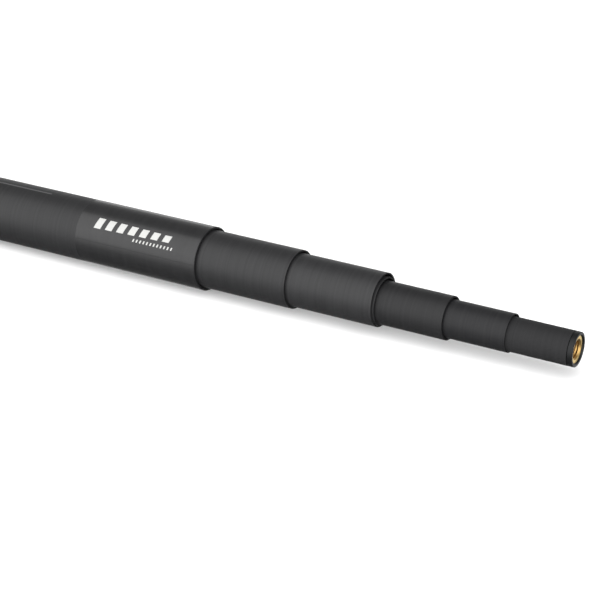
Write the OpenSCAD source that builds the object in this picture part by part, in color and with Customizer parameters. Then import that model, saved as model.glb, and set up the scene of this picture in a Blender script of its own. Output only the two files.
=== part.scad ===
// Telescopic carbon pole, drawn closed and lying along +X with +Z up.
// The origin is on the butt tube's axis, at the rear face of the butt cap.
// Lists run from the butt section (index 0) to the tip section (index 6).

/* [Pole] */
// Closed length, from the cap's rear face to the tip's front face
closed_length = 1000; // [800:5:1300]
// Outer radius of the tip tube at its front end
tip_radius = 8; // [7.5:0.1:10]
// Wall thickness of each tube
wall = [0.92, 0.74, 0.68, 0.68, 0.74, 0.57, 0.8]; // [0.5:0.01:1]
// Radial gap between each tube's mouth and the next tube, when closed
gap = [0.6, 0.6, 0.6, 0.6, 0.6, 0.4]; // [0.4:0.01:0.8]
// How far the next section stands out of each mouth, when closed
step_out = [48.6, 44.8, 0.9, 33.5, 29.9, 31.2]; // [0:0.1:60]
// How far the next section stays inside each mouth, when pulled out
overlap = [70, 66, 60, 60, 55, 50]; // [40:1:90]
// How far the next section lies towards the bottom of its gap
settle = [0, 0.3, 1, 1, 0.3, 1]; // [0:0.1:1]
// Growth of the butt tube's radius per millimetre, towards the rear
butt_taper = 0.0011; // [0.001:0.0001:0.0013]
// Chamfer on the outer edge of each mouth
mouth_chamfer = 0.25; // [0.1:0.05:0.3]

/* [Label film] */
// Length of the clear film, which ends at the butt tube's mouth
film_length = 70; // [40:1:120]
// Thickness of the film
film_thickness = 0.06; // [0.04:0.01:0.15]

/* [Butt cap] */
// Length of the cap's head, behind the end of the butt tube
head_length = 12; // [10:0.5:18]
// Radius of the head's rear face
face_radius = 15.4; // [14.5:0.1:15.6]
// Outer radius of the rubber grip ring
grip_radius = 17.2; // [16.9:0.1:19]
// Number of flutes round the grip ring
flute_count = 18; // [12:2:24]
// Length of the cap's threaded plug
plug_length = 13; // [12:0.5:16]
// Radius of the threaded plug
plug_radius = 14.98; // [14.9:0.01:15]
// Thickness of the foam pad that the sections rest on
pad_thickness = 3; // [2:0.5:6]
// Diameter of the O-ring's cord
ring_cord = 1.8; // [1.4:0.1:1.9]

/* [Tip socket] */
// Length of the ferrule's flange, in front of the tip tube
flange_length = 2.4; // [2:0.1:6]
// Depth of the brass insert's face, behind the ferrule's front
insert_depth = 0.7; // [0.1:0.1:1.5]
// Width of the chamfer inside the ferrule's front edge
rim_chamfer = 1; // [0.1:0.1:1.2]
// Length of the ferrule's spigot, inside the tip tube
spigot_length = 19; // [12:1:25]
// Outer radius of the brass insert
insert_radius = 6.28; // [5.6:0.02:6.4]
// Radius of the insert's bore, at the thread's crests
bore_radius = 4.05; // [3.9:0.05:4.3]
// Radius of the countersink at the insert's mouth
mouth_radius = 4.85; // [4.6:0.05:5.2]

/* [Hidden] */

TIP = 6;                     // index of the tip section
FIT = 0.04;                  // radial clearance that is left when a joint is tight
REST = 0.03;                 // clearance under a section that lies in its mouth
GLUE = 0.03;                 // thickness of a glued joint
THREAD_CLEARANCE = 0.07;     // between the cap's plug and its bush
GROOVE = 0.25;               // groove between the ferrule's flange and the tip tube

carbon = [0.22, 0.22, 0.23];
carbon_dark = [0.17, 0.17, 0.18];
anodised = [0.08, 0.08, 0.09];
rubber = [0.05, 0.05, 0.05];

// The stack of sections rests on the pad, at the front of the cap
stack_x = head_length + plug_length + pad_thickness;

// Front mouth of section i, along X
function mouth_x(i) = i == TIP ? closed_length - flange_length - GROOVE
    : i == TIP - 1 ? closed_length - step_out[i]
    : mouth_x(i + 1) - step_out[i];

// Radii at the mouth of section i
function outer_r(i) = i == TIP ? tip_radius : outer_r(i + 1) + gap[i] + wall[i];
function inner_r(i) = outer_r(i) - wall[i];

// Stroke of section i, and the taper that makes it tight at the end of that stroke
function travel(i) = mouth_x(i - 1) - overlap[i - 1] - stack_x;
function taper(i) = i == 0 ? butt_taper : (gap[i - 1] - FIT) / (step_out[i - 1] + travel(i));

// Radii of section i at a place along X
function outer_at(i, x) = outer_r(i) + taper(i) * (mouth_x(i) - x);
function inner_at(i, x) = outer_at(i, x) - wall[i];

// Height of section i's axis: it lies low in the section around it, as its room allows
function room_at(i, x) = inner_at(i - 1, x) - outer_at(i, x);
function drop(i) = settle[i - 1] * (min(room_at(i, mouth_x(i - 1)), room_at(i, stack_x)) - REST);
function axis_z(i) = i == 0 ? 0 : axis_z(i - 1) - drop(i);

// Turns a profile of [radius, x] points about the axis of section i
module turned(i, profile) {
    translate([0, 0, axis_z(i)])
        rotate([0, 90, 0])
            rotate_extrude($fn = 128)
                polygon(profile);
}

// One tapered tube, chamfered round the outside of both ends and inside the mouth
module tube(i, rear_x, shade) {
    front_x = mouth_x(i);
    c = mouth_chamfer;
    color(shade)
        turned(i, [
            [inner_at(i, rear_x), rear_x],
            [outer_at(i, rear_x) - c, rear_x],
            [outer_at(i, rear_x + c), rear_x + c],
            [outer_at(i, front_x - c), front_x - c],
            [outer_at(i, front_x) - c, front_x],
            [inner_at(i, front_x) + c / 2, front_x],
            [inner_at(i, front_x - c / 2), front_x - c / 2]
        ]);
}

module butt_tube() {
    tube(0, head_length, carbon_dark);
}

// Clear film, wrapped round the front of the butt tube
module label_film() {
    front_x = mouth_x(0) - mouth_chamfer;
    rear_x = mouth_x(0) - film_length;
    color([0.3, 0.3, 0.31])
        turned(0, [
            [outer_at(0, rear_x), rear_x],
            [outer_at(0, rear_x) + film_thickness, rear_x],
            [outer_at(0, front_x) + film_thickness, front_x],
            [outer_at(0, front_x), front_x]
        ]);
}

// Threaded bush, glued into the rear of the butt tube behind room for the O-ring
module cap_bush() {
    rear_x = head_length + ring_cord + 0.5;
    front_x = head_length + plug_length + 0.5;
    bore = plug_radius + THREAD_CLEARANCE;
    color(anodised)
        turned(0, [
            [bore, rear_x],
            [inner_at(0, rear_x) - GLUE, rear_x],
            [inner_at(0, front_x) - GLUE, front_x],
            [bore, front_x]
        ]);
}

// Screw cap: face disc, seat for the grip ring, flange, seat for the O-ring, threaded plug
module butt_cap() {
    edge = 0.8;
    disc = 2;
    flange_x = head_length - 2;
    flange_r = face_radius + edge;
    plug_x = head_length + ring_cord + 0.3;
    front_x = head_length + plug_length;
    color(anodised)
        difference() {
            turned(0, [
                [0, 0],
                [face_radius, 0],
                [flange_r, edge],
                [flange_r, disc],
                [face_radius - edge, disc],
                [face_radius - edge, flange_x],
                [flange_r, flange_x],
                [flange_r, head_length],
                [ring_seat_r(), head_length],
                [ring_seat_r(), plug_x],
                [plug_radius, plug_x],
                [plug_radius, front_x - edge],
                [plug_radius - edge, front_x],
                [0, front_x]
            ]);
            // Hollow that lightens the plug, closed by the pad
            translate([head_length - 6, 0, 0])
                rotate([0, 90, 0])
                    cylinder(r = 10, h = plug_length + 7, $fn = 96);
        }
}

function ring_seat_r() = inner_at(0, head_length + 1) - 0.06 - ring_cord;

// Rubber ring with flutes, stretched over the cap's head
module cap_grip() {
    flute_r = 1.6;
    inner = face_radius - 0.8;
    color(rubber)
        translate([2, 0, 0])
            rotate([0, 90, 0])
                linear_extrude(height = head_length - 4)
                    difference() {
                        circle(r = grip_radius, $fn = 128);
                        circle(r = inner, $fn = 128);
                        for (n = [0 : flute_count - 1])
                            rotate((n + 0.5) * 360 / flute_count)
                                translate([grip_radius + 0.7, 0])
                                    circle(r = flute_r, $fn = 32);
                    }
}

// Rubber O-ring between the cap's flange and the bush
module cap_o_ring() {
    color(rubber)
        translate([head_length + 0.15 + ring_cord / 2, 0, 0])
            rotate([0, 90, 0])
                rotate_extrude($fn = 128)
                    translate([ring_seat_r() + ring_cord / 2, 0])
                        circle(r = ring_cord / 2, $fn = 32);
}

// Foam disc on the end of the cap's plug
module cap_pad() {
    color([0.1, 0.1, 0.1])
        translate([head_length + plug_length, 0, 0])
            rotate([0, 90, 0])
                cylinder(r = plug_radius - 0.2, h = pad_thickness, $fn = 96);
}

module section_2_tube() { tube(1, stack_x, carbon); }
module section_3_tube() { tube(2, stack_x, carbon); }
module section_4_tube() { tube(3, stack_x, carbon); }
module section_5_tube() { tube(4, stack_x, carbon); }
module section_6_tube() { tube(5, stack_x, carbon); }
module tip_tube() { tube(TIP, stack_x, carbon); }

// Black ferrule: a flange as wide as the tip tube, chamfered inside, and a spigot glued in
module tip_ferrule() {
    bevel = 0.35;
    flange_x = closed_length - flange_length;
    spigot_x = mouth_x(TIP) - spigot_length;
    spigot_r = inner_r(TIP) - GLUE;
    color(anodised)
        turned(TIP, [
            [insert_radius, spigot_x],
            [spigot_r - bevel, spigot_x],
            [spigot_r, spigot_x + bevel],
            [spigot_r, flange_x],
            [tip_radius - bevel / 2, flange_x],
            [tip_radius, flange_x + bevel / 2],
            [tip_radius, closed_length - bevel],
            [tip_radius - bevel, closed_length],
            [insert_radius + rim_chamfer, closed_length],
            [insert_radius, closed_length - insert_depth]
        ]);
}

// Brass insert with the threaded hole, pressed into the ferrule
module thread_insert() {
    countersink = mouth_radius - bore_radius;
    rear_x = mouth_x(TIP) - spigot_length;
    front_x = closed_length - insert_depth;
    color([0.72, 0.57, 0.3])
        turned(TIP, [
            [bore_radius, rear_x],
            [insert_radius, rear_x],
            [insert_radius, front_x],
            [mouth_radius, front_x],
            [bore_radius, front_x - countersink]
        ]);
}

butt_tube();
label_film();
cap_bush();
butt_cap();
cap_grip();
cap_o_ring();
cap_pad();
section_2_tube();
section_3_tube();
section_4_tube();
section_5_tube();
section_6_tube();
tip_tube();
tip_ferrule();
thread_insert();
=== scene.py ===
"""Looks of a telescopic carbon pole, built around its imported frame. Lengths are in metres."""

import math

import bmesh
import bpy
import numpy as np
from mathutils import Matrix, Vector


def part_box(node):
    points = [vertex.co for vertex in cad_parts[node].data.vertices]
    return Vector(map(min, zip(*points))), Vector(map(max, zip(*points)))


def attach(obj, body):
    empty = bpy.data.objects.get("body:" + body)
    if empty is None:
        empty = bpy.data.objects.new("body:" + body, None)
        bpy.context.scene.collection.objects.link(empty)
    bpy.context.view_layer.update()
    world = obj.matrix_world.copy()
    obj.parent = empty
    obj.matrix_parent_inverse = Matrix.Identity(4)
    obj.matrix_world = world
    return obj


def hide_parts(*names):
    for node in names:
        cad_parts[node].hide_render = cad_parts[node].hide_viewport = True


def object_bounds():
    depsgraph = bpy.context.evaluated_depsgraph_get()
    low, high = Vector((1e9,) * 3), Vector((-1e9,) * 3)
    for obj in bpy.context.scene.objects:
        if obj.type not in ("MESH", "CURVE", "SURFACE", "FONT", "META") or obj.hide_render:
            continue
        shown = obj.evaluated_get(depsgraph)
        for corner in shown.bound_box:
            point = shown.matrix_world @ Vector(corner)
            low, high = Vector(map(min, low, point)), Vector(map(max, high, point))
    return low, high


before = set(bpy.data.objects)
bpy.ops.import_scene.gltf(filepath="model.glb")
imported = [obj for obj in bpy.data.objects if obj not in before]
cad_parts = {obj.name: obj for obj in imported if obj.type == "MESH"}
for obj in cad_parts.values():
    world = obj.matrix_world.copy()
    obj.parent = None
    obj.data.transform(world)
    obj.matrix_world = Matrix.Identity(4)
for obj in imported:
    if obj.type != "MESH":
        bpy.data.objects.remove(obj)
cad_box = [[float(c) for c in corner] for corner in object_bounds()]


# ---------------------------------------------------------------- Camera
# A short telephoto about 75 cm from the tip, looking down along the closed pole from the
# camera side, so that the tip is at the right and the butt runs out of the view at the left.
CAMERA_FROM_TIP = Vector((0.2239, -0.6353, 0.3359))
CAMERA_TURN = math.radians(29.78)
CAMERA_DIP = math.radians(25.21)
LENS = 102.4

ferrule_low, ferrule_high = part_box("tip_ferrule")
tip_face = Vector((ferrule_high.x, 0, (ferrule_low.z + ferrule_high.z) / 2))

camera = bpy.data.objects.new("camera", bpy.data.cameras.new("camera"))
camera.data.lens = LENS
camera.location = tip_face + CAMERA_FROM_TIP
camera.rotation_euler = (math.pi / 2 - CAMERA_DIP, 0, CAMERA_TURN)
bpy.context.scene.collection.objects.link(camera)
bpy.context.scene.camera = camera
bpy.context.scene.view_settings.view_transform = "Standard"


# ---------------------------------------------------------------- Floor and light
# A white table and backdrop under one long soft light, bent from the camera side to overhead,
# dark above the far side and bright again at the far horizon. A weak lamp without shadow or
# glint fills the far side, so that the pole keeps its shape from there.
FLOOR_SIZE = 40.0
FLOOR_LIFT = 0.06               # glow that keeps the shadow's deepest part from going black
LIGHT_STRENGTH = 3.0
FILL_STRENGTH = 1.6
FILL_HEIGHT = 12                # degrees above the far horizon
# Angle above the camera-side horizon, going round over the top, and brightness there
LIGHT_ARCH = [
    (-180, 0.20), (-165, 0.30), (-150, 0.36), (-138, 0.30), (-125, 0.08), (-90, 0.05),
    (-60, 0.08), (-35, 0.20), (-20, 0.45), (-8, 0.75),
    (0, 0.90), (25, 1.00), (50, 0.92), (72, 0.82), (84, 0.60), (93, 0.24), (104, 0.13),
    (135, 0.11), (160, 0.18), (175, 0.42), (180, 0.48),
]


def add_node(tree, kind, inputs=None, **settings):
    """Adds a node. inputs gives each socket, by name or number, a value, a socket or a node."""
    made = tree.nodes.new(kind)
    for name, value in settings.items():
        setattr(made, name, value)
    for socket, value in (inputs or {}).items():
        if isinstance(value, bpy.types.Node):
            value = value.outputs[0]
        if isinstance(value, bpy.types.NodeSocket):
            tree.links.new(value, made.inputs[socket])
        else:
            made.inputs[socket].default_value = value
    return made


def set_ramp(ramp, stops):
    """Gives a colour ramp its (position, colour) stops."""
    elements = ramp.color_ramp.elements
    while len(elements) < len(stops):
        elements.new(0.5)
    for element, (position, colour) in zip(elements, stops):
        element.position = position
        element.color = colour


def linear(hex_colour):
    """Turns an sRGB colour such as "#808080" into linear RGBA."""
    shares = [int(hex_colour[i:i + 2], 16) / 255 for i in (1, 3, 5)]
    return [s / 12.92 if s <= 0.04045 else ((s + 0.055) / 1.055) ** 2.4 for s in shares] + [1.0]


def new_material(name):
    """An empty material, and its tree."""
    material = bpy.data.materials.new(name)
    material.use_nodes = True
    material.node_tree.nodes.clear()
    return material, material.node_tree


world = bpy.data.worlds.new("studio")
world.use_nodes = True
world.node_tree.nodes.clear()
bpy.context.scene.world = world
sky = world.node_tree
towards = add_node(sky, "ShaderNodeTexCoord")
parts = add_node(sky, "ShaderNodeSeparateXYZ", {0: towards.outputs["Generated"]})
front = add_node(sky, "ShaderNodeMath", {0: parts.outputs["Y"], 1: -1.0}, operation="MULTIPLY")
height = add_node(sky, "ShaderNodeMath", {0: parts.outputs["Z"], 1: front}, operation="ARCTAN2")
turn = add_node(sky, "ShaderNodeMath", {
    0: height, 1: 1 / math.tau, 2: 0.5,
}, operation="MULTIPLY_ADD")
arch = add_node(sky, "ShaderNodeValToRGB", {"Fac": turn})
set_ramp(arch, [(angle / 360 + 0.5, (level, level, level, 1)) for angle, level in LIGHT_ARCH])
glow = add_node(sky, "ShaderNodeBackground", {"Color": arch, "Strength": LIGHT_STRENGTH})
# To the camera the surroundings are plain white, and the arch only lights and mirrors
backdrop = add_node(sky, "ShaderNodeBackground", {"Color": linear("#ffffff"), "Strength": 1.0})
seen = add_node(sky, "ShaderNodeLightPath")
studio = add_node(sky, "ShaderNodeMixShader", {
    0: seen.outputs["Is Camera Ray"], 1: glow, 2: backdrop,
})
add_node(sky, "ShaderNodeOutputWorld", {"Surface": studio})

fill = bpy.data.objects.new("fill", bpy.data.lights.new("fill", "SUN"))
fill.data.energy = FILL_STRENGTH
fill.data.use_shadow = False
fill.visible_glossy = False
fill.rotation_euler = (math.radians(FILL_HEIGHT - 90), 0, 0)
bpy.context.scene.collection.objects.link(fill)

floor_material, tree = new_material("white_table")
paint = add_node(tree, "ShaderNodeBsdfDiffuse", {"Color": linear("#f3f3f3")})
lift = add_node(tree, "ShaderNodeEmission", {"Color": linear("#ffffff"), "Strength": FLOOR_LIFT})
both = add_node(tree, "ShaderNodeAddShader", {0: paint, 1: lift})
add_node(tree, "ShaderNodeOutputMaterial", {"Surface": both})

half = FLOOR_SIZE / 2
floor_mesh = bpy.data.meshes.new("floor")
floor_z = cad_box[0][2]
floor_mesh.from_pydata(
    [(x, y, floor_z) for x, y in ((-half, -half), (half, -half), (half, half), (-half, half))],
    [], [(0, 1, 2, 3)],
)
floor_mesh.materials.append(floor_material)
floor = bpy.data.objects.new("floor", floor_mesh)
floor.visible_glossy = False
bpy.context.scene.collection.objects.link(floor)


# ---------------------------------------------------------------- Butt tube
# The outermost tube, carbon cloth rolled on a tapered steel mandrel, bound with shrink tape and
# cured. It isn't sanded, so the tape leaves fine hoops all along it. Its ends are cut and eased.
MM = 0.001                      # sizes are written in millimetres
TUBE_SEGMENTS = 160
ROUND_STEPS = 4                 # stretches of the outline round each eased corner
HOLD_FROM = 5                   # a straight stretch longer than this many roundings is held
HOLD_AT = 2                     # by a point this many roundings from its corner
SMOOTH_BELOW = 35               # degrees between faces that still shade as one surface
WELD = 0.0005 * MM
END_BAND = 0.4 * MM             # points this near a tube's end belong to it
EDGE_ROUNDING = 0.15 * MM
TAPE_STEP, TAPE_HEIGHT = 1.3 * MM, 0.06 * MM
TAPE_SHARE = 0.6                # of the relief, and the streaks make the rest
STREAK_LENGTH = 22.2 * MM
GLOSS_SPREAD = 0.05             # either way, from streak to streak
# Colour of the sawn ends, a painted shade for the dark line at each tube's mouth, and their
# roughness
SAWN_END_SHADE, SAWN_ROUGHNESS = "#151516", 0.8
SAWN_FROM, SAWN_FULL = 0.5, 0.95        # how squarely a sawn face looks along the tube


def rounded(corners):
    """Rounds an outline of (radius, x, rounding) corners, and holds its straight stretches."""
    points = []
    for i, (radius, x, rounding) in enumerate(corners):
        here = Vector((radius, x))
        if rounding == 0:
            points.append(here)
            continue
        before = Vector(corners[i - 1][:2]) - here
        after = Vector(corners[(i + 1) % len(corners)][:2]) - here
        start = here + before.normalized() * rounding
        end = here + after.normalized() * rounding
        if before.length > HOLD_FROM * rounding:
            points.append(here + before.normalized() * rounding * HOLD_AT)
        for step in range(ROUND_STEPS + 1):
            s = step / ROUND_STEPS
            points.append(start * (1 - s) ** 2 + here * 2 * s * (1 - s) + end * s ** 2)
        if after.length > HOLD_FROM * rounding:
            points.append(here + after.normalized() * rounding * HOLD_AT)
    return points


def new_tree(name, inputs):
    """A geometry tree with a Geometry socket each way and the inputs named, and its two ends."""
    tree = bpy.data.node_groups.new(name, "GeometryNodeTree")
    tree.interface.new_socket("Geometry", in_out="INPUT", socket_type="NodeSocketGeometry")
    for label, kind in inputs.items():
        tree.interface.new_socket(label, in_out="INPUT", socket_type="NodeSocket" + kind)
    tree.interface.new_socket("Geometry", in_out="OUTPUT", socket_type="NodeSocketGeometry")
    given = add_node(tree, "NodeGroupInput")
    return tree, given.outputs


def close_tree(tree, made, material):
    """Ends a geometry tree: makes instances real and paints the result."""
    real = add_node(tree, "GeometryNodeRealizeInstances", {0: made})
    painted = add_node(tree, "GeometryNodeSetMaterial", {0: real, "Material": material})
    add_node(tree, "NodeGroupOutput", {0: painted})


def turning_tree():
    """Turns the outline that the object holds, drawn as (radius - reach, -x), about X."""
    tree, given = new_tree("turned_on_x", {
        "Segments": "Int", "Reach": "Float", "Start": "Float", "Sweep": "Float",
        "Closed": "Bool", "Axis height": "Float", "Material": "Material",
    })
    path = add_node(tree, "GeometryNodeCurveArc", {
        "Resolution": given["Segments"], "Radius": given["Reach"],
        "Start Angle": 0.0, "Sweep Angle": given["Sweep"],
    })
    ring = add_node(tree, "GeometryNodeSetSplineCyclic", {0: path, "Cyclic": given["Closed"]})
    outline = add_node(tree, "GeometryNodeMeshToCurve", {0: given["Geometry"]})
    solid = add_node(tree, "GeometryNodeCurveToMesh", {
        "Curve": ring, "Profile Curve": outline, "Fill Caps": True,
    })
    spin = add_node(tree, "ShaderNodeCombineXYZ", {"Z": given["Start"]})
    spun = add_node(tree, "GeometryNodeTransform", {0: solid, "Rotation": spin})
    lift = add_node(tree, "ShaderNodeCombineXYZ", {"Z": given["Axis height"]})
    laid = add_node(tree, "GeometryNodeTransform", {
        0: spun, "Translation": lift, "Rotation": (0, math.pi / 2, 0),
    })
    close_tree(tree, laid, given["Material"])
    return tree


def apply_tree(thing, tree, values):
    """Runs a geometry tree on an object and keeps the result as its plain mesh."""
    modifier = thing.modifiers.new(tree.name, "NODES")
    modifier.node_group = tree
    for item in tree.interface.items_tree:
        if item.in_out == "INPUT" and item.name in values:
            modifier[item.identifier] = values[item.name]
    evaluated = thing.evaluated_get(bpy.context.evaluated_depsgraph_get())
    mesh = bpy.data.meshes.new_from_object(evaluated)
    thing.modifiers.remove(modifier)
    thing.data = mesh


def finish_mesh(thing, crease=SMOOTH_BELOW):
    """Merges doubles, points faces outwards and shades smooth up to the crease angle."""
    shape = bmesh.new()
    shape.from_mesh(thing.data)
    bmesh.ops.remove_doubles(shape, verts=shape.verts, dist=WELD)
    bmesh.ops.recalc_face_normals(shape, faces=shape.faces)
    shape.to_mesh(thing.data)
    shape.free()
    thing.data.shade_smooth()
    thing.data.set_sharp_from_angle(angle=math.radians(crease))


turned_on_x = turning_tree()


def turned(name, points, axis_z, material, segments=TUBE_SEGMENTS, arc=None):
    """A piece turned about X from an outline of (radius, x) points, closed unless both its ends
    are on the axis. arc is (start, sweep), and angles run from straight down over the far side."""
    outline = bpy.data.meshes.new(name)
    count = len(points)
    reach = max(radius for radius, x in points)
    meets_axis = points[0][0] == 0 and points[-1][0] == 0
    outline.from_pydata(
        [(radius - reach, -x, 0) for radius, x in points],
        [(i, (i + 1) % count) for i in range(count - meets_axis)], [],
    )
    thing = bpy.data.objects.new(name, outline)
    bpy.context.scene.collection.objects.link(thing)
    start, sweep = arc or (0.0, math.tau * (segments - 1) / segments)
    apply_tree(thing, turned_on_x, {
        "Segments": segments, "Reach": reach, "Start": start, "Sweep": sweep,
        "Closed": arc is None, "Axis height": axis_z, "Material": material,
    })
    finish_mesh(thing)
    return thing


def tube_sizes(node):
    """Reads a tube's ends, axis height and radii from its CAD mesh."""
    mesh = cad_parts[node].data
    co = np.array([v.co for v in mesh.vertices])
    low, high = co.min(0), co.max(0)
    axis_z = float(low[2] + high[2]) / 2
    radius = np.hypot(co[:, 1], co[:, 2] - axis_z)
    at_rear, at_front = co[:, 0] < low[0] + END_BAND, co[:, 0] > high[0] - END_BAND
    return {
        "rear": float(low[0]), "front": float(high[0]), "axis_z": axis_z,
        "rear_outer": float(radius[at_rear].max()), "rear_inner": float(radius[at_rear].min()),
        "front_outer": float(radius[at_front].max()), "front_inner": float(radius[at_front].min()),
    }


def outer_radius(tube, x):
    """A tube's outer radius at a place along X."""
    share = (x - tube["rear"]) / (tube["front"] - tube["rear"])
    return tube["rear_outer"] + share * (tube["front_outer"] - tube["rear_outer"])


def carbon_tube(name, node, body, material):
    """A tapered tube with eased ends, as long and as wide as its CAD node."""
    tube = tube_sizes(node)
    inside = EDGE_ROUNDING / 2
    points = rounded([
        (tube["rear_inner"], tube["rear"], inside),
        (tube["rear_outer"], tube["rear"], EDGE_ROUNDING),
        (tube["front_outer"], tube["front"], EDGE_ROUNDING),
        (tube["front_inner"], tube["front"], inside),
    ])
    piece = turned(name, points, tube["axis_z"], material)
    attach(piece, body)
    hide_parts(node)
    return tube


def wound_carbon(name, dark, light, roughness, shine):
    """Wound carbon laminate as it leaves the oven: matt, with hoops of resin where the shrink
    tape overlapped, a little uneven in height and gloss, and faint streaks along the hoops. Its
    sawn ends are duller, and their near-black colour is painted shade for the dark line at each
    tube's mouth."""
    material, tree = new_material(name)
    place = add_node(tree, "ShaderNodeTexCoord")
    axes = add_node(tree, "ShaderNodeSeparateXYZ", {0: place.outputs["Object"]})
    tapes = add_node(tree, "ShaderNodeTexNoise", {
        "W": axes.outputs["X"], "Scale": 1 / TAPE_STEP, "Detail": 2.0, "Roughness": 0.6,
    }, noise_dimensions="1D")
    stretch = add_node(tree, "ShaderNodeMapping", {
        "Vector": place.outputs["Object"],
        "Scale": (1 / TAPE_STEP, 1 / STREAK_LENGTH, 1 / STREAK_LENGTH),
    })
    streaks = add_node(tree, "ShaderNodeTexNoise", {
        "Vector": stretch, "Scale": 1.0, "Detail": 3.0, "Roughness": 0.6,
    })
    tape_height = add_node(tree, "ShaderNodeMath", {0: tapes, 1: TAPE_SHARE},
                           operation="MULTIPLY")
    relief = add_node(tree, "ShaderNodeMath", {0: streaks, 1: 1 - TAPE_SHARE, 2: tape_height},
                      operation="MULTIPLY_ADD")
    bump = add_node(tree, "ShaderNodeBump", {
        "Height": relief, "Strength": 1.0, "Distance": TAPE_HEIGHT,
    })
    tone = add_node(tree, "ShaderNodeValToRGB", {"Fac": relief})
    set_ramp(tone, [(0.35, linear(dark)), (0.65, linear(light))])
    facing = add_node(tree, "ShaderNodeSeparateXYZ", {0: place.outputs["Normal"]})
    lengthwise = add_node(tree, "ShaderNodeMath", {0: facing}, operation="ABSOLUTE")
    sawn = add_node(tree, "ShaderNodeMapRange", {
        "Value": lengthwise, "From Min": SAWN_FROM, "From Max": SAWN_FULL,
    })
    # On the sawn ends the laminate's tone gives way to the painted shade
    ground = add_node(tree, "ShaderNodeMix", {0: sawn, 6: tone, 7: linear(SAWN_END_SHADE)},
                      data_type="RGBA")
    gloss = add_node(tree, "ShaderNodeMapRange", {
        "Value": streaks, "From Min": 0.3, "From Max": 0.7,
        "To Min": roughness - GLOSS_SPREAD, "To Max": roughness + GLOSS_SPREAD,
    })
    dulled = add_node(tree, "ShaderNodeMapRange", {
        "Value": sawn, "To Min": gloss, "To Max": SAWN_ROUGHNESS,
    })
    surface = add_node(tree, "ShaderNodeBsdfPrincipled", {
        "Base Color": ground.outputs[2], "Roughness": dulled, "Normal": bump,
        "Specular IOR Level": shine,
    })
    add_node(tree, "ShaderNodeOutputMaterial", {"Surface": surface})
    return material


butt = carbon_tube("butt_tube_wound", "butt_tube", "butt",
                   wound_carbon("butt_carbon", "#1b1b1c", "#222223", 0.45, 0.25))


# ---------------------------------------------------------------- Sections 2 to 6 and the tip
# Six thinner tubes of the same make, each sliding in the one before. Every section is rolled
# from its own cloth and cured on its own mandrel, so their greys and gloss differ slightly.
SECTIONS = {
    "section_2": ("#1c1c1d", "#242425", 0.45, 0.26),
    "section_3": ("#1e1e1f", "#262627", 0.45, 0.26),
    "section_4": ("#1d1d1e", "#252526", 0.48, 0.25),
    "section_5": ("#19191a", "#1f1f20", 0.48, 0.20),
    "section_6": ("#18181a", "#1e1e1f", 0.48, 0.19),
    "tip": ("#1e1e1f", "#232324", 0.65, 0.15),
}

for section, finish in SECTIONS.items():
    laminate = wound_carbon(section + "_carbon", *finish)
    carbon_tube(section + "_tube_wound", section + "_tube", section, laminate)


# ---------------------------------------------------------------- Label film
# A clear glossy polyester film, wrapped once round the front of the butt tube and stuck down.
# Its two ends meet in a hairline gap along the camera side, where the matt carbon shows.
FILM_GAP = 0.3 * MM
FILM_SEAM = math.radians(261)   # from straight down, towards the far side and over the top
RIPPLE_STEP, RIPPLE_HEIGHT = 2 * TAPE_STEP, 0.02 * MM
RIPPLE_LENGTH = 16.7 * MM

film_low, film_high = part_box("label_film")
film_back = outer_radius(butt, film_low.x)
film_front = outer_radius(butt, film_high.x)
film_thick = (film_high.z - film_low.z) / 2 - film_back


def film_over_carbon():
    """Clear polyester film on matt carbon: a hard, even gloss over a dark ground, with the slow
    ripple of the tube's hoops under it."""
    material, tree = new_material("film_over_carbon")
    place = add_node(tree, "ShaderNodeTexCoord")
    stretch = add_node(tree, "ShaderNodeMapping", {
        "Vector": place.outputs["Object"],
        "Scale": (1 / RIPPLE_STEP, 1 / RIPPLE_LENGTH, 1 / RIPPLE_LENGTH),
    })
    ripple = add_node(tree, "ShaderNodeTexNoise", {"Vector": stretch, "Scale": 1.0, "Detail": 2.0})
    bump = add_node(tree, "ShaderNodeBump", {
        "Height": ripple, "Strength": 1.0, "Distance": RIPPLE_HEIGHT,
    })
    tone = add_node(tree, "ShaderNodeValToRGB", {"Fac": ripple})
    set_ramp(tone, [(0.3, linear("#151516")), (0.7, linear("#1b1b1c"))])
    surface = add_node(tree, "ShaderNodeBsdfPrincipled", {
        "Base Color": tone, "Roughness": 0.5, "Specular IOR Level": 0.1, "Normal": bump,
        "Coat Weight": 0.6, "Coat Roughness": 0.1, "Coat Normal": bump,
    })
    add_node(tree, "ShaderNodeOutputMaterial", {"Surface": surface})
    return material


gap_angle = FILM_GAP / film_front
film = turned("label_film_wrapped", [
    (film_back, film_low.x), (film_back + film_thick, film_low.x),
    (film_front + film_thick, film_high.x), (film_front, film_high.x),
], butt["axis_z"], film_over_carbon(), arc=(FILM_SEAM + gap_angle / 2, math.tau - gap_angle))
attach(film, "butt")
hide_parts("label_film")


# ---------------------------------------------------------------- Print on the film
# Plain marks screen-printed in white on the upper camera side of the film: a row of seven
# slanted blocks, as wide as the seven tubes are in turn, and a row of small dashes below it.
INK_THICK = 0.02 * MM
INK_SLANT = 0.25                # how far along a block leans for its height
PEEL_WIDTH, PEEL_HEIGHT = 0.8 * MM, 0.01 * MM
# First block's middle from the film's rear edge, row's angle from straight down, count, spacing,
# block's width, first block's height, and how much lower each next one is
INK_ROWS = [
    (12.5 * MM, 226.5, 7, 6.6 * MM, 3.9 * MM, 5.6 * MM, 0.35 * MM),
    (34.0 * MM, 242.5, 12, 2.0 * MM, 0.75 * MM, 1.5 * MM, 0.0),
]


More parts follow.
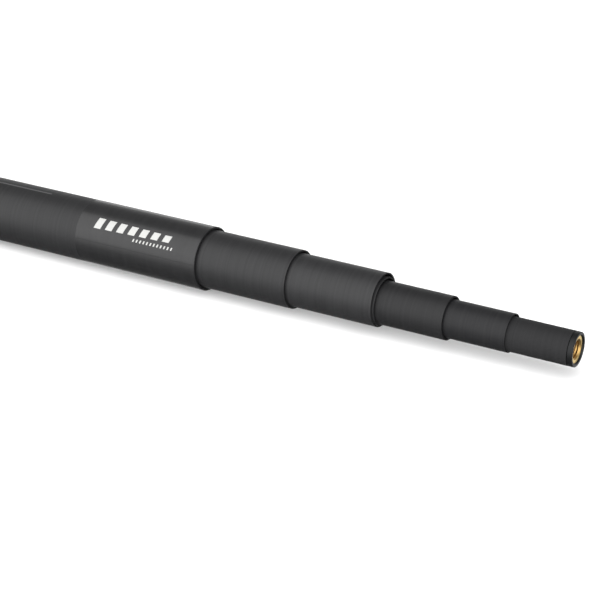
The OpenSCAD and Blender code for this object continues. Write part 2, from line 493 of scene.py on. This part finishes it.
def ink_tree():
    """A row of slanted blocks of ink, laid flat and then wrapped round the pole's cone."""
    tree, given = new_tree("ink_row", {
        "Count": "Int", "Spacing": "Float", "Width": "Float", "Height": "Float",
        "Height step": "Float", "Slant": "Float", "Thickness": "Float", "Start": "Float",
        "Angle": "Float", "Radius at start": "Float", "Taper": "Float", "Material": "Material",
    })

    spacing = add_node(tree, "ShaderNodeCombineXYZ", {"X": given["Spacing"]})
    middles = add_node(tree, "GeometryNodeMeshLine", {
        "Count": given["Count"], "Offset": spacing,
    })
    block = add_node(tree, "GeometryNodeMeshGrid", {
        "Size X": 1.0, "Size Y": 1.0, "Vertices X": 3, "Vertices Y": 13,
    })
    index = add_node(tree, "GeometryNodeInputIndex")
    lower = add_node(tree, "ShaderNodeMath", {
        0: index, 1: given["Height step"],
    }, operation="MULTIPLY")
    tall = add_node(tree, "ShaderNodeMath", {0: given["Height"], 1: lower}, operation="SUBTRACT")
    size = add_node(tree, "ShaderNodeCombineXYZ", {"X": given["Width"], "Y": tall, "Z": 1.0})
    row = add_node(tree, "GeometryNodeInstanceOnPoints", {
        "Points": middles, "Instance": block, "Scale": size,
    })
    flat = add_node(tree, "GeometryNodeRealizeInstances", {0: row})
    raised = add_node(tree, "GeometryNodeExtrudeMesh", {
        "Mesh": flat, "Offset Scale": given["Thickness"], "Individual": False,
    })
    under = add_node(tree, "GeometryNodeFlipFaces", {0: flat})
    both = add_node(tree, "GeometryNodeJoinGeometry")
    tree.links.new(raised.outputs[0], both.inputs[0])
    tree.links.new(under.outputs[0], both.inputs[0])
    solid = add_node(tree, "GeometryNodeMergeByDistance", {0: both, "Distance": 2 * WELD})

    place = add_node(tree, "GeometryNodeInputPosition")
    axes = add_node(tree, "ShaderNodeSeparateXYZ", {0: place})
    slanted = add_node(tree, "ShaderNodeMath", {
        0: axes.outputs["Y"], 1: given["Slant"], 2: axes.outputs["X"],
    }, operation="MULTIPLY_ADD")
    along = add_node(tree, "ShaderNodeMath", {0: slanted, 1: given["Start"]}, operation="ADD")
    narrower = add_node(tree, "ShaderNodeMath", {
        0: slanted, 1: given["Taper"],
    }, operation="MULTIPLY")
    ground = add_node(tree, "ShaderNodeMath", {
        0: given["Radius at start"], 1: narrower,
    }, operation="SUBTRACT")
    radius = add_node(tree, "ShaderNodeMath", {0: ground, 1: axes.outputs["Z"]}, operation="ADD")
    round_it = add_node(tree, "ShaderNodeMath", {
        0: axes.outputs["Y"], 1: given["Radius at start"],
    }, operation="DIVIDE")
    angle = add_node(tree, "ShaderNodeMath", {0: given["Angle"], 1: round_it}, operation="SUBTRACT")
    sine = add_node(tree, "ShaderNodeMath", {0: angle}, operation="SINE")
    cosine = add_node(tree, "ShaderNodeMath", {0: angle}, operation="COSINE")
    aside = add_node(tree, "ShaderNodeMath", {0: radius, 1: sine}, operation="MULTIPLY")
    down = add_node(tree, "ShaderNodeMath", {0: radius, 1: cosine}, operation="MULTIPLY")
    up = add_node(tree, "ShaderNodeMath", {0: down, 1: -1.0}, operation="MULTIPLY")
    wrapped = add_node(tree, "ShaderNodeCombineXYZ", {"X": along, "Y": aside, "Z": up})
    laid = add_node(tree, "GeometryNodeSetPosition", {"Geometry": solid, "Position": wrapped})
    close_tree(tree, laid, given["Material"])
    return tree


def printed_ink(name, colour):
    """Screen-printing ink, cured: an even, half-matt coat with a faint orange peel."""
    material, tree = new_material(name)
    place = add_node(tree, "ShaderNodeTexCoord")
    peel = add_node(tree, "ShaderNodeTexNoise", {
        "Vector": place.outputs["Object"], "Scale": 1 / PEEL_WIDTH, "Detail": 2.0,
    })
    bump = add_node(tree, "ShaderNodeBump", {
        "Height": peel, "Strength": 0.5, "Distance": PEEL_HEIGHT,
    })
    gloss = add_node(tree, "ShaderNodeMapRange", {"Value": peel, "To Min": 0.35, "To Max": 0.5})
    surface = add_node(tree, "ShaderNodeBsdfPrincipled", {
        "Base Color": linear(colour), "Roughness": gloss, "Normal": bump,
    })
    add_node(tree, "ShaderNodeOutputMaterial", {"Surface": surface})
    return material


ink_row = ink_tree()
white_ink = printed_ink("white_ink", "#a8a8a6")
film_taper = (film_back - film_front) / (film_high.x - film_low.x)
for i, (behind, angle, count, spacing, width, tall, step) in enumerate(INK_ROWS):
    start = film_low.x + behind
    marks = bpy.data.objects.new(f"film_print_{i + 1}", bpy.data.meshes.new("film_print"))
    bpy.context.scene.collection.objects.link(marks)
    apply_tree(marks, ink_row, {
        "Count": count, "Spacing": spacing, "Width": width, "Height": tall, "Height step": step,
        "Slant": INK_SLANT, "Thickness": INK_THICK, "Start": start, "Angle": math.radians(angle),
        "Radius at start": outer_radius(butt, start) + film_thick, "Taper": film_taper,
        "Material": white_ink,
    })
    finish_mesh(marks)
    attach(marks, "butt")


# ---------------------------------------------------------------- Pinstripe on the butt
# A thin line of light grey ink along the top of the butt tube, printed straight on the carbon.
# It stops a little behind the film, and is guessed to run back almost to the end cap.
STRIPE_WIDTH = 0.9 * MM
STRIPE_ANGLE = math.radians(186)
STRIPE_REAR = 40 * MM
STRIPE_TO_FILM = 24 * MM
STRIPE_FRONT = film_low.x - STRIPE_TO_FILM
STRIPE_SEGMENTS = 6

stripe_sweep = STRIPE_WIDTH / outer_radius(butt, STRIPE_FRONT)
stripe_back = outer_radius(butt, STRIPE_REAR)
stripe_front = outer_radius(butt, STRIPE_FRONT)
stripe = turned("butt_pinstripe", [
    (stripe_back, STRIPE_REAR), (stripe_back + INK_THICK, STRIPE_REAR),
    (stripe_front + INK_THICK, STRIPE_FRONT), (stripe_front, STRIPE_FRONT),
], butt["axis_z"], printed_ink("grey_ink", "#464647"), segments=STRIPE_SEGMENTS,
    arc=(STRIPE_ANGLE - stripe_sweep / 2, stripe_sweep))
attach(stripe, "butt")


# ---------------------------------------------------------------- Ferrule in the tip
# A turned aluminium plug, black anodised, whose spigot is glued into the tip tube. Its flange
# covers the tube's cut end, and is chamfered inside.
FLANGE_LENGTH = 2.4 * MM
FLANGE_BEVEL = 0.45 * MM
BROKEN_EDGE = 0.1 * MM          # how far the tool breaks a sharp edge
RING_STEP, RING_DEPTH = 0.15 * MM, 0.01 * MM
SATIN_SPREAD = 0.06             # either way, from ring to ring


def anodised_aluminium(name, colour, roughness, metallic, shine=0.5, axis_z=0.0):
    """Black anodised aluminium, turned: a dark, satin metal whose fine tool rings stay visible.
    The rings are drawn coarser than the real feed, so that they show."""
    material, tree = new_material(name)
    place = add_node(tree, "ShaderNodeTexCoord")
    centred = add_node(tree, "ShaderNodeMapping", {
        "Vector": place.outputs["Object"], "Location": (0, 0, -axis_z),
    })
    axes = add_node(tree, "ShaderNodeSeparateXYZ", {0: centred})
    round_it = add_node(tree, "ShaderNodeCombineXYZ", {
        "X": axes.outputs["Y"], "Y": axes.outputs["Z"],
    })
    radius = add_node(tree, "ShaderNodeVectorMath", {0: round_it}, operation="LENGTH")
    feed = add_node(tree, "ShaderNodeMath", {
        0: radius.outputs["Value"], 1: axes.outputs["X"],
    }, operation="ADD")
    rings = add_node(tree, "ShaderNodeTexNoise", {
        "W": feed, "Scale": 1 / RING_STEP, "Detail": 2.0,
    }, noise_dimensions="1D")
    bump = add_node(tree, "ShaderNodeBump", {
        "Height": rings, "Strength": 0.6, "Distance": RING_DEPTH,
    })
    gloss = add_node(tree, "ShaderNodeMapRange", {
        "Value": rings, "To Min": roughness - SATIN_SPREAD, "To Max": roughness + SATIN_SPREAD,
    })
    surface = add_node(tree, "ShaderNodeBsdfPrincipled", {
        "Base Color": linear(colour), "Metallic": metallic, "Roughness": gloss, "Normal": bump,
        "Specular IOR Level": shine,
    })
    add_node(tree, "ShaderNodeOutputMaterial", {"Surface": surface})
    return material


ferrule = tube_sizes("tip_ferrule")
flange_start = ferrule["front"] - FLANGE_LENGTH
insert_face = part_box("thread_insert")[1].x
black_ferrule = anodised_aluminium("anodised_ferrule", "#111213", 0.4, 0.25, 0.28,
                                   ferrule["axis_z"])
ferrule_piece = turned("tip_ferrule_turned", rounded([
    (ferrule["rear_inner"], ferrule["rear"], BROKEN_EDGE),
    (ferrule["rear_outer"], ferrule["rear"], 0.25 * MM),
    (ferrule["rear_outer"], flange_start, 0),
    (ferrule["front_outer"], flange_start, 0.2 * MM),
    (ferrule["front_outer"], ferrule["front"], FLANGE_BEVEL),
    (ferrule["front_inner"], ferrule["front"], BROKEN_EDGE),
    (ferrule["rear_inner"], insert_face, 0),
]), ferrule["axis_z"], black_ferrule)
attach(ferrule_piece, "tip")
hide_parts("tip_ferrule")


# ---------------------------------------------------------------- Threaded insert
# A turned brass bush, pressed and glued in the ferrule and tapped right through, that takes the
# screw of a head. Its mouth is countersunk, and its bright face lies in the flange's chamfer.
THREAD_PITCH = 1.27 * MM
THREAD_DEPTH = 0.6 * MM
THREAD_STEPS = 10               # points of the outline for each turn of the thread
THREAD_FLAT = 0.06              # half of a crest's or a root's flat, as a share of the pitch
THREAD_NEAR = 0.02 * MM         # points this near the thread's radius are moved
CUT_CREASE = 50                 # degrees, as a thread's own flanks shade smooth
INSERT_SEGMENTS = 96
BRASS_RING_STEP = 0.12 * MM
STAIN_WIDTH = 2 * MM
# Painted shade: over this distance inside the bore's edge the brass darkens to brown
BORE_SHADE_FADE = 0.2 * MM             # from the bore's bright edge to its dull inside


def threading_tree():
    """Moves the points at one radius in or out along a right-handed helix about X."""
    tree, given = new_tree("threaded", {
        "Axis height": "Float", "Thread radius": "Float", "Depth": "Float", "Pitch": "Float",
        "First": "Float", "Last": "Float", "Fade": "Float", "Material": "Material",
    })

    place = add_node(tree, "GeometryNodeInputPosition")
    axes = add_node(tree, "ShaderNodeSeparateXYZ", {0: place})
    up = add_node(tree, "ShaderNodeMath", {
        0: axes.outputs["Z"], 1: given["Axis height"],
    }, operation="SUBTRACT")
    outwards = add_node(tree, "ShaderNodeCombineXYZ", {"Y": axes.outputs["Y"], "Z": up})
    radius = add_node(tree, "ShaderNodeVectorMath", {0: outwards}, operation="LENGTH")
    down = add_node(tree, "ShaderNodeMath", {0: up, 1: -1.0}, operation="MULTIPLY")
    angle = add_node(tree, "ShaderNodeMath", {0: axes.outputs["Y"], 1: down}, operation="ARCTAN2")
    turns = add_node(tree, "ShaderNodeMath", {0: angle, 1: math.tau}, operation="DIVIDE")
    steps = add_node(tree, "ShaderNodeMath", {
        0: axes.outputs["X"], 1: given["Pitch"],
    }, operation="DIVIDE")
    phase = add_node(tree, "ShaderNodeMath", {0: steps, 1: turns}, operation="SUBTRACT")
    wave = add_node(tree, "ShaderNodeMath", {0: phase, 1: 0.5}, operation="PINGPONG")
    flank = add_node(tree, "ShaderNodeMapRange", {
        "Value": wave, "From Min": THREAD_FLAT, "From Max": 0.5 - THREAD_FLAT,
        "To Min": 0.0, "To Max": given["Depth"],
    })
    begun = add_node(tree, "ShaderNodeMath", {
        0: axes.outputs["X"], 1: given["First"],
    }, operation="SUBTRACT")
    left = add_node(tree, "ShaderNodeMath", {
        0: given["Last"], 1: axes.outputs["X"],
    }, operation="SUBTRACT")
    nearer = add_node(tree, "ShaderNodeMath", {0: begun, 1: left}, operation="MINIMUM")
    fade = add_node(tree, "ShaderNodeMath", {
        0: nearer, 1: given["Fade"],
    }, operation="DIVIDE", use_clamp=True)
    deep = add_node(tree, "ShaderNodeMath", {0: flank, 1: fade}, operation="MULTIPLY")
    here = add_node(tree, "ShaderNodeMath", {
        0: radius.outputs["Value"], 1: given["Thread radius"], 2: THREAD_NEAR,
    }, operation="COMPARE")
    move = add_node(tree, "ShaderNodeMath", {0: deep, 1: here}, operation="MULTIPLY")
    way = add_node(tree, "ShaderNodeVectorMath", {0: outwards}, operation="NORMALIZE")
    offset = add_node(tree, "ShaderNodeVectorMath", {0: way, "Scale": move}, operation="SCALE")
    cut = add_node(tree, "GeometryNodeSetPosition", {
        "Geometry": given["Geometry"], "Offset": offset,
    })
    close_tree(tree, cut, given["Material"])
    return tree


def thread_points(radius, first, last, pitch):
    """The straight stretch of an outline that a thread is then cut in, without its ends."""
    count = round(abs(last - first) / pitch * THREAD_STEPS)
    return [Vector((radius, first + (last - first) * i / count)) for i in range(1, count)]


threaded = threading_tree()


def cut_thread(piece, material, axis_z, radius, depth, pitch, first, last):
    """Cuts a thread in a turned piece: a positive depth goes outwards from radius."""
    apply_tree(piece, threaded, {
        "Axis height": axis_z, "Thread radius": radius, "Depth": depth, "Pitch": pitch,
        "First": first, "Last": last, "Fade": pitch, "Material": material,
    })
    finish_mesh(piece, crease=CUT_CREASE)


def turned_brass(axis_z, bore_edge):
    """Free-cutting brass, bright from the tool on its face, with fine rings and a few stains.
    Inside the tapped hole it is duller, and coloured a darker brown that is painted shade. The
    rings are drawn coarser than the real feed."""
    material, tree = new_material("turned_brass")
    place = add_node(tree, "ShaderNodeTexCoord")
    centred = add_node(tree, "ShaderNodeMapping", {
        "Vector": place.outputs["Object"], "Location": (0, 0, -axis_z),
    })
    axes = add_node(tree, "ShaderNodeSeparateXYZ", {0: centred})
    round_it = add_node(tree, "ShaderNodeCombineXYZ", {
        "X": axes.outputs["Y"], "Y": axes.outputs["Z"],
    })
    radius = add_node(tree, "ShaderNodeVectorMath", {0: round_it}, operation="LENGTH")
    rings = add_node(tree, "ShaderNodeTexNoise", {
        "W": radius.outputs["Value"], "Scale": 1 / BRASS_RING_STEP, "Detail": 2.0,
    }, noise_dimensions="1D")
    stains = add_node(tree, "ShaderNodeTexNoise", {
        "Vector": place.outputs["Object"], "Scale": 1 / STAIN_WIDTH, "Detail": 3.0,
    })
    bump = add_node(tree, "ShaderNodeBump", {
        "Height": rings, "Strength": 0.5, "Distance": RING_DEPTH,
    })
    tone = add_node(tree, "ShaderNodeValToRGB", {"Fac": stains})
    set_ramp(tone, [(0.3, linear("#d3ad60")), (0.7, linear("#e8d08c"))])
    inside = add_node(tree, "ShaderNodeMapRange", {
        "Value": radius.outputs["Value"], "From Min": bore_edge, "From Max": bore_edge - BORE_SHADE_FADE,
    })
    # Painted shade: inside the bore the brass is coloured a darker brown
    bore_shaded = add_node(tree, "ShaderNodeMix", {0: inside, 6: tone, 7: linear("#b3925c")},
                     data_type="RGBA")
    gloss = add_node(tree, "ShaderNodeMapRange", {"Value": rings, "To Min": 0.22, "To Max": 0.36})
    duller = add_node(tree, "ShaderNodeMapRange", {
        "Value": inside, "To Min": gloss, "To Max": 0.42,
    })
    surface = add_node(tree, "ShaderNodeBsdfPrincipled", {
        "Base Color": bore_shaded.outputs[2], "Metallic": 1.0, "Roughness": duller, "Normal": bump,
    })
    add_node(tree, "ShaderNodeOutputMaterial", {"Surface": surface})
    return material


insert = tube_sizes("thread_insert")
brass = turned_brass(insert["axis_z"], insert["front_inner"])
countersink = insert["front_inner"] - insert["rear_inner"]
bore_front = insert["front"] - countersink
insert_piece = turned("thread_insert_tapped", rounded([
    (insert["rear_inner"], insert["rear"], 0),
    (insert["rear_outer"], insert["rear"], BROKEN_EDGE),
    (insert["front_outer"], insert["front"], BROKEN_EDGE),
    (insert["front_inner"], insert["front"], BROKEN_EDGE),
    (insert["rear_inner"], bore_front, 0),
]) + thread_points(insert["rear_inner"], bore_front, insert["rear"], THREAD_PITCH),
    insert["axis_z"], brass, segments=INSERT_SEGMENTS)
cut_thread(insert_piece, brass, insert["axis_z"], insert["rear_inner"], THREAD_DEPTH,
           THREAD_PITCH, insert["rear"], bore_front)
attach(insert_piece, "tip")
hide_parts("thread_insert")


# ---------------------------------------------------------------- Butt cap
# A turned aluminium cap, black anodised, that screws out so that the sections can be taken out
# and dried. It has a disc, a seat for its grip ring, a flange, a groove and a hollow plug.
CAP_THREAD_PITCH = 1.5 * MM
CAP_THREAD_DEPTH = 0.45 * MM
DISC_CHAMFER = 0.8 * MM
DISC_FRONT, SEAT_FRONT, FLANGE_FRONT = 2.0 * MM, 10.0 * MM, 12.0 * MM
GROOVE_FRONT, HOLLOW_REAR = 14.1 * MM, 6.0 * MM
SEAT_RADIUS, GROOVE_RADIUS = 14.6 * MM, 13.83 * MM
PLUG_RADIUS, HOLLOW_RADIUS = 14.98 * MM, 10.0 * MM
RING_MARKS = (6.0 * MM, 11.5 * MM)      # radii of the decorative grooves in the rear face
RING_MARK_HALF, RING_MARK_DEPTH = 0.3 * MM, 0.25 * MM

cap_low, cap_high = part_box("butt_cap")
cap_radius = (cap_high.z - cap_low.z) / 2
thread_front = cap_high.x - DISC_CHAMFER
rear_face = [(0, cap_low.x, 0)]
for mark in RING_MARKS:
    rear_face += [
        (mark - RING_MARK_HALF, cap_low.x, BROKEN_EDGE),
        (mark, cap_low.x + RING_MARK_DEPTH, BROKEN_EDGE),
        (mark + RING_MARK_HALF, cap_low.x, BROKEN_EDGE),
    ]
cap_outline = rounded(rear_face + [
    (cap_radius - DISC_CHAMFER, cap_low.x, 0.25 * MM),
    (cap_radius, cap_low.x + DISC_CHAMFER, 0.25 * MM),
    (cap_radius, DISC_FRONT, 0.15 * MM),
    (SEAT_RADIUS, DISC_FRONT, 0),
    (SEAT_RADIUS, SEAT_FRONT, 0),
    (cap_radius, SEAT_FRONT, 0.3 * MM),
    (cap_radius, FLANGE_FRONT, 0.15 * MM),
    (GROOVE_RADIUS, FLANGE_FRONT, 0),
    (GROOVE_RADIUS, GROOVE_FRONT, 0),
    (PLUG_RADIUS, GROOVE_FRONT, 0),
]) + thread_points(PLUG_RADIUS, GROOVE_FRONT, thread_front, CAP_THREAD_PITCH) + rounded([
    (PLUG_RADIUS, thread_front, 0),
    (PLUG_RADIUS - DISC_CHAMFER, cap_high.x, 0.15 * MM),
    (HOLLOW_RADIUS, cap_high.x, 0.3 * MM),
    (HOLLOW_RADIUS, HOLLOW_REAR, 0.5 * MM),
    (0, HOLLOW_REAR, 0),
])
cap_aluminium = anodised_aluminium("anodised_cap", "#202022", 0.38, 0.6)
cap_piece = turned("butt_cap_turned", cap_outline, 0.0, cap_aluminium)
cut_thread(cap_piece, cap_aluminium, 0.0, PLUG_RADIUS, -CAP_THREAD_DEPTH, CAP_THREAD_PITCH,
           GROOVE_FRONT, thread_front)
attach(cap_piece, "cap")
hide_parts("butt_cap")


# ---------------------------------------------------------------- Grip ring of the cap
# A moulded rubber ring stretched over the cap's seat and held between its disc and its flange.
# Eighteen flutes give the fingers a hold when the cap is unscrewed, and soften a knock.
FLUTES = 18
FLUTE_CENTRE, FLUTE_RADIUS, FLUTE_SOFTNESS = 17.9 * MM, 1.6 * MM, 0.35 * MM
GRIP_SEGMENTS = 30 * FLUTES
SEAT_EDGE = 0.1 * MM
GRAIN_WIDTH, GRAIN_DEPTH = 0.35 * MM, 0.03 * MM
GRIP_ROUNDING = 0.6 * MM


def fluting_tree():
    """Presses round flutes, lengthwise, in the outer face of a turned ring about X."""
    tree, given = new_tree("fluted", {
        "Count": "Int", "Centre radius": "Float", "Flute radius": "Float", "Softness": "Float",
        "Material": "Material",
    })

    place = add_node(tree, "GeometryNodeInputPosition")
    axes = add_node(tree, "ShaderNodeSeparateXYZ", {0: place})
    outwards = add_node(tree, "ShaderNodeCombineXYZ", {
        "Y": axes.outputs["Y"], "Z": axes.outputs["Z"],
    })
    radius = add_node(tree, "ShaderNodeVectorMath", {0: outwards}, operation="LENGTH")
    down = add_node(tree, "ShaderNodeMath", {0: axes.outputs["Z"], 1: -1.0}, operation="MULTIPLY")
    angle = add_node(tree, "ShaderNodeMath", {0: axes.outputs["Y"], 1: down}, operation="ARCTAN2")
    one = add_node(tree, "ShaderNodeMath", {0: math.tau, 1: given["Count"]}, operation="DIVIDE")
    flute = add_node(tree, "ShaderNodeMath", {0: angle, 1: one}, operation="DIVIDE")
    share = add_node(tree, "ShaderNodeMath", {0: flute}, operation="FRACT")
    middle = add_node(tree, "ShaderNodeMath", {0: share, 1: 0.5}, operation="SUBTRACT")
    off_middle = add_node(tree, "ShaderNodeMath", {0: middle, 1: one}, operation="MULTIPLY")
    sine = add_node(tree, "ShaderNodeMath", {0: off_middle}, operation="SINE")
    cosine = add_node(tree, "ShaderNodeMath", {0: off_middle}, operation="COSINE")
    aside = add_node(tree, "ShaderNodeMath", {
        0: given["Centre radius"], 1: sine,
    }, operation="MULTIPLY")
    ahead = add_node(tree, "ShaderNodeMath", {
        0: given["Centre radius"], 1: cosine,
    }, operation="MULTIPLY")
    reach = add_node(tree, "ShaderNodeMath", {
        0: given["Flute radius"], 1: given["Flute radius"],
    }, operation="MULTIPLY")
    used = add_node(tree, "ShaderNodeMath", {0: aside, 1: aside}, operation="MULTIPLY")
    room = add_node(tree, "ShaderNodeMath", {0: reach, 1: used}, operation="SUBTRACT")
    positive = add_node(tree, "ShaderNodeMath", {0: room, 1: 0.0}, operation="MAXIMUM")
    half_chord = add_node(tree, "ShaderNodeMath", {0: positive}, operation="SQRT")
    wall = add_node(tree, "ShaderNodeMath", {0: ahead, 1: half_chord}, operation="SUBTRACT")
    kept = add_node(tree, "ShaderNodeMath", {
        0: radius.outputs["Value"], 1: wall, 2: given["Softness"],
    }, operation="SMOOTH_MIN")
    change = add_node(tree, "ShaderNodeMath", {
        0: kept, 1: radius.outputs["Value"],
    }, operation="SUBTRACT")
    way = add_node(tree, "ShaderNodeVectorMath", {0: outwards}, operation="NORMALIZE")
    offset = add_node(tree, "ShaderNodeVectorMath", {0: way, "Scale": change}, operation="SCALE")
    pressed = add_node(tree, "GeometryNodeSetPosition", {
        "Geometry": given["Geometry"], "Offset": offset,
    })
    close_tree(tree, pressed, given["Material"])
    return tree


def moulded_rubber(name, colour):
    """Moulded rubber: a dull near-black, with the fine grain of a spark-eroded mould."""
    material, tree = new_material(name)
    place = add_node(tree, "ShaderNodeTexCoord")
    grain = add_node(tree, "ShaderNodeTexNoise", {
        "Vector": place.outputs["Object"], "Scale": 1 / GRAIN_WIDTH, "Detail": 3.0,
    })
    bump = add_node(tree, "ShaderNodeBump", {
        "Height": grain, "Strength": 0.7, "Distance": GRAIN_DEPTH,
    })
    gloss = add_node(tree, "ShaderNodeMapRange", {"Value": grain, "To Min": 0.62, "To Max": 0.8})
    surface = add_node(tree, "ShaderNodeBsdfPrincipled", {
        "Base Color": linear(colour), "Roughness": gloss, "Normal": bump,
        "Specular IOR Level": 0.35,
    })
    add_node(tree, "ShaderNodeOutputMaterial", {"Surface": surface})
    return material


grip_low, grip_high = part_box("cap_grip")
grip_radius = (grip_high.z - grip_low.z) / 2
grip_rubber = moulded_rubber("grip_rubber", "#191919")
grip = turned("cap_grip_moulded", rounded([
    (SEAT_RADIUS, grip_low.x, SEAT_EDGE),
    (grip_radius, grip_low.x, GRIP_ROUNDING),
    (grip_radius, grip_high.x, GRIP_ROUNDING),
    (SEAT_RADIUS, grip_high.x, SEAT_EDGE),
]), 0.0, grip_rubber, segments=GRIP_SEGMENTS)
apply_tree(grip, fluting_tree(), {
    "Count": FLUTES, "Centre radius": FLUTE_CENTRE, "Flute radius": FLUTE_RADIUS,
    "Softness": FLUTE_SOFTNESS, "Material": grip_rubber,
})
finish_mesh(grip, crease=CUT_CREASE)
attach(grip, "cap")
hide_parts("cap_grip")


# ---------------------------------------------------------------- O-ring of the cap
# A nitrile O-ring in the groove between the cap's flange and its plug. It presses on the tube's
# bore, keeps grit out of the sections and stops the cap from working loose.
CORD_POINTS = 20

ring_low, ring_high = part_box("cap_o_ring")
cord_radius = (ring_high.x - ring_low.x) / 2
cord_centre = (ring_high.z - ring_low.z) / 2 - cord_radius
ring_middle = (ring_high.x + ring_low.x) / 2
cord = [Vector((cord_centre + cord_radius * math.cos(math.tau * i / CORD_POINTS),
                ring_middle + cord_radius * math.sin(math.tau * i / CORD_POINTS)))
        for i in range(CORD_POINTS)]
o_ring = turned("cap_o_ring_moulded", cord, 0.0, moulded_rubber("nitrile_rubber", "#121212"))
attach(o_ring, "cap")
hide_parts("cap_o_ring")


# ---------------------------------------------------------------- Bush for the cap
# A thin aluminium sleeve, black anodised and glued in the butt tube's rear bore, whose inner
# thread takes the cap's plug. It shows only when the cap is out.
BUSH_THREAD_DEPTH = 0.3 * MM

bush = tube_sizes("cap_bush")
bush_aluminium = anodised_aluminium("anodised_bush", "#28282a", 0.4, 0.6)
bush_piece = turned("cap_bush_threaded", rounded([
    (bush["rear_inner"], bush["rear"], 0),
    (bush["rear_outer"], bush["rear"], BROKEN_EDGE),
    (bush["front_outer"], bush["front"], BROKEN_EDGE),
    (bush["front_inner"], bush["front"], 0),
]) + thread_points(bush["rear_inner"], bush["front"], bush["rear"], CAP_THREAD_PITCH),
    bush["axis_z"], bush_aluminium)
cut_thread(bush_piece, bush_aluminium, bush["axis_z"], bush["rear_inner"], BUSH_THREAD_DEPTH,
           CAP_THREAD_PITCH, bush["rear"], bush["front"])
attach(bush_piece, "butt")
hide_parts("cap_bush")


# ---------------------------------------------------------------- Pad of the cap
# A disc of closed-cell foam stuck on the front of the cap's plug, which the closed sections
# rest on, so that they don't rattle or chip.
PAD_ROUNDING = 0.5 * MM
CELL_WIDTH, CELL_DEPTH = 0.5 * MM, 0.12 * MM


def closed_cell_foam():
    """Cut EVA foam: dull dark grey, with the open halves of its cells, each coloured darker towards
    its bottom as painted shade.
    """
    material, tree = new_material("closed_cell_foam")
    place = add_node(tree, "ShaderNodeTexCoord")
    cells = add_node(tree, "ShaderNodeTexVoronoi", {
        "Vector": place.outputs["Object"], "Scale": 1 / CELL_WIDTH,
    }, feature="SMOOTH_F1")
    bump = add_node(tree, "ShaderNodeBump", {
        "Height": cells.outputs["Distance"], "Strength": 0.8, "Distance": CELL_DEPTH,
    })
    # Painted shade: each cell's hollow is coloured darker towards its bottom, following its bump
    tone = add_node(tree, "ShaderNodeValToRGB", {"Fac": cells.outputs["Distance"]})
    set_ramp(tone, [(0.2, linear("#1e1e1f")), (0.8, linear("#333335"))])
    surface = add_node(tree, "ShaderNodeBsdfPrincipled", {
        "Base Color": tone, "Roughness": 0.9, "Normal": bump, "Specular IOR Level": 0.25,
    })
    add_node(tree, "ShaderNodeOutputMaterial", {"Surface": surface})
    return material


pad_low, pad_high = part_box("cap_pad")
pad_radius = (pad_high.z - pad_low.z) / 2
pad = turned("cap_pad_cut", rounded([
    (0, pad_low.x, 0),
    (pad_radius, pad_low.x, PAD_ROUNDING),
    (pad_radius, pad_high.x, PAD_ROUNDING),
    (0, pad_high.x, 0),
]), 0.0, closed_cell_foam())
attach(pad, "cap_slide")
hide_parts("cap_pad")
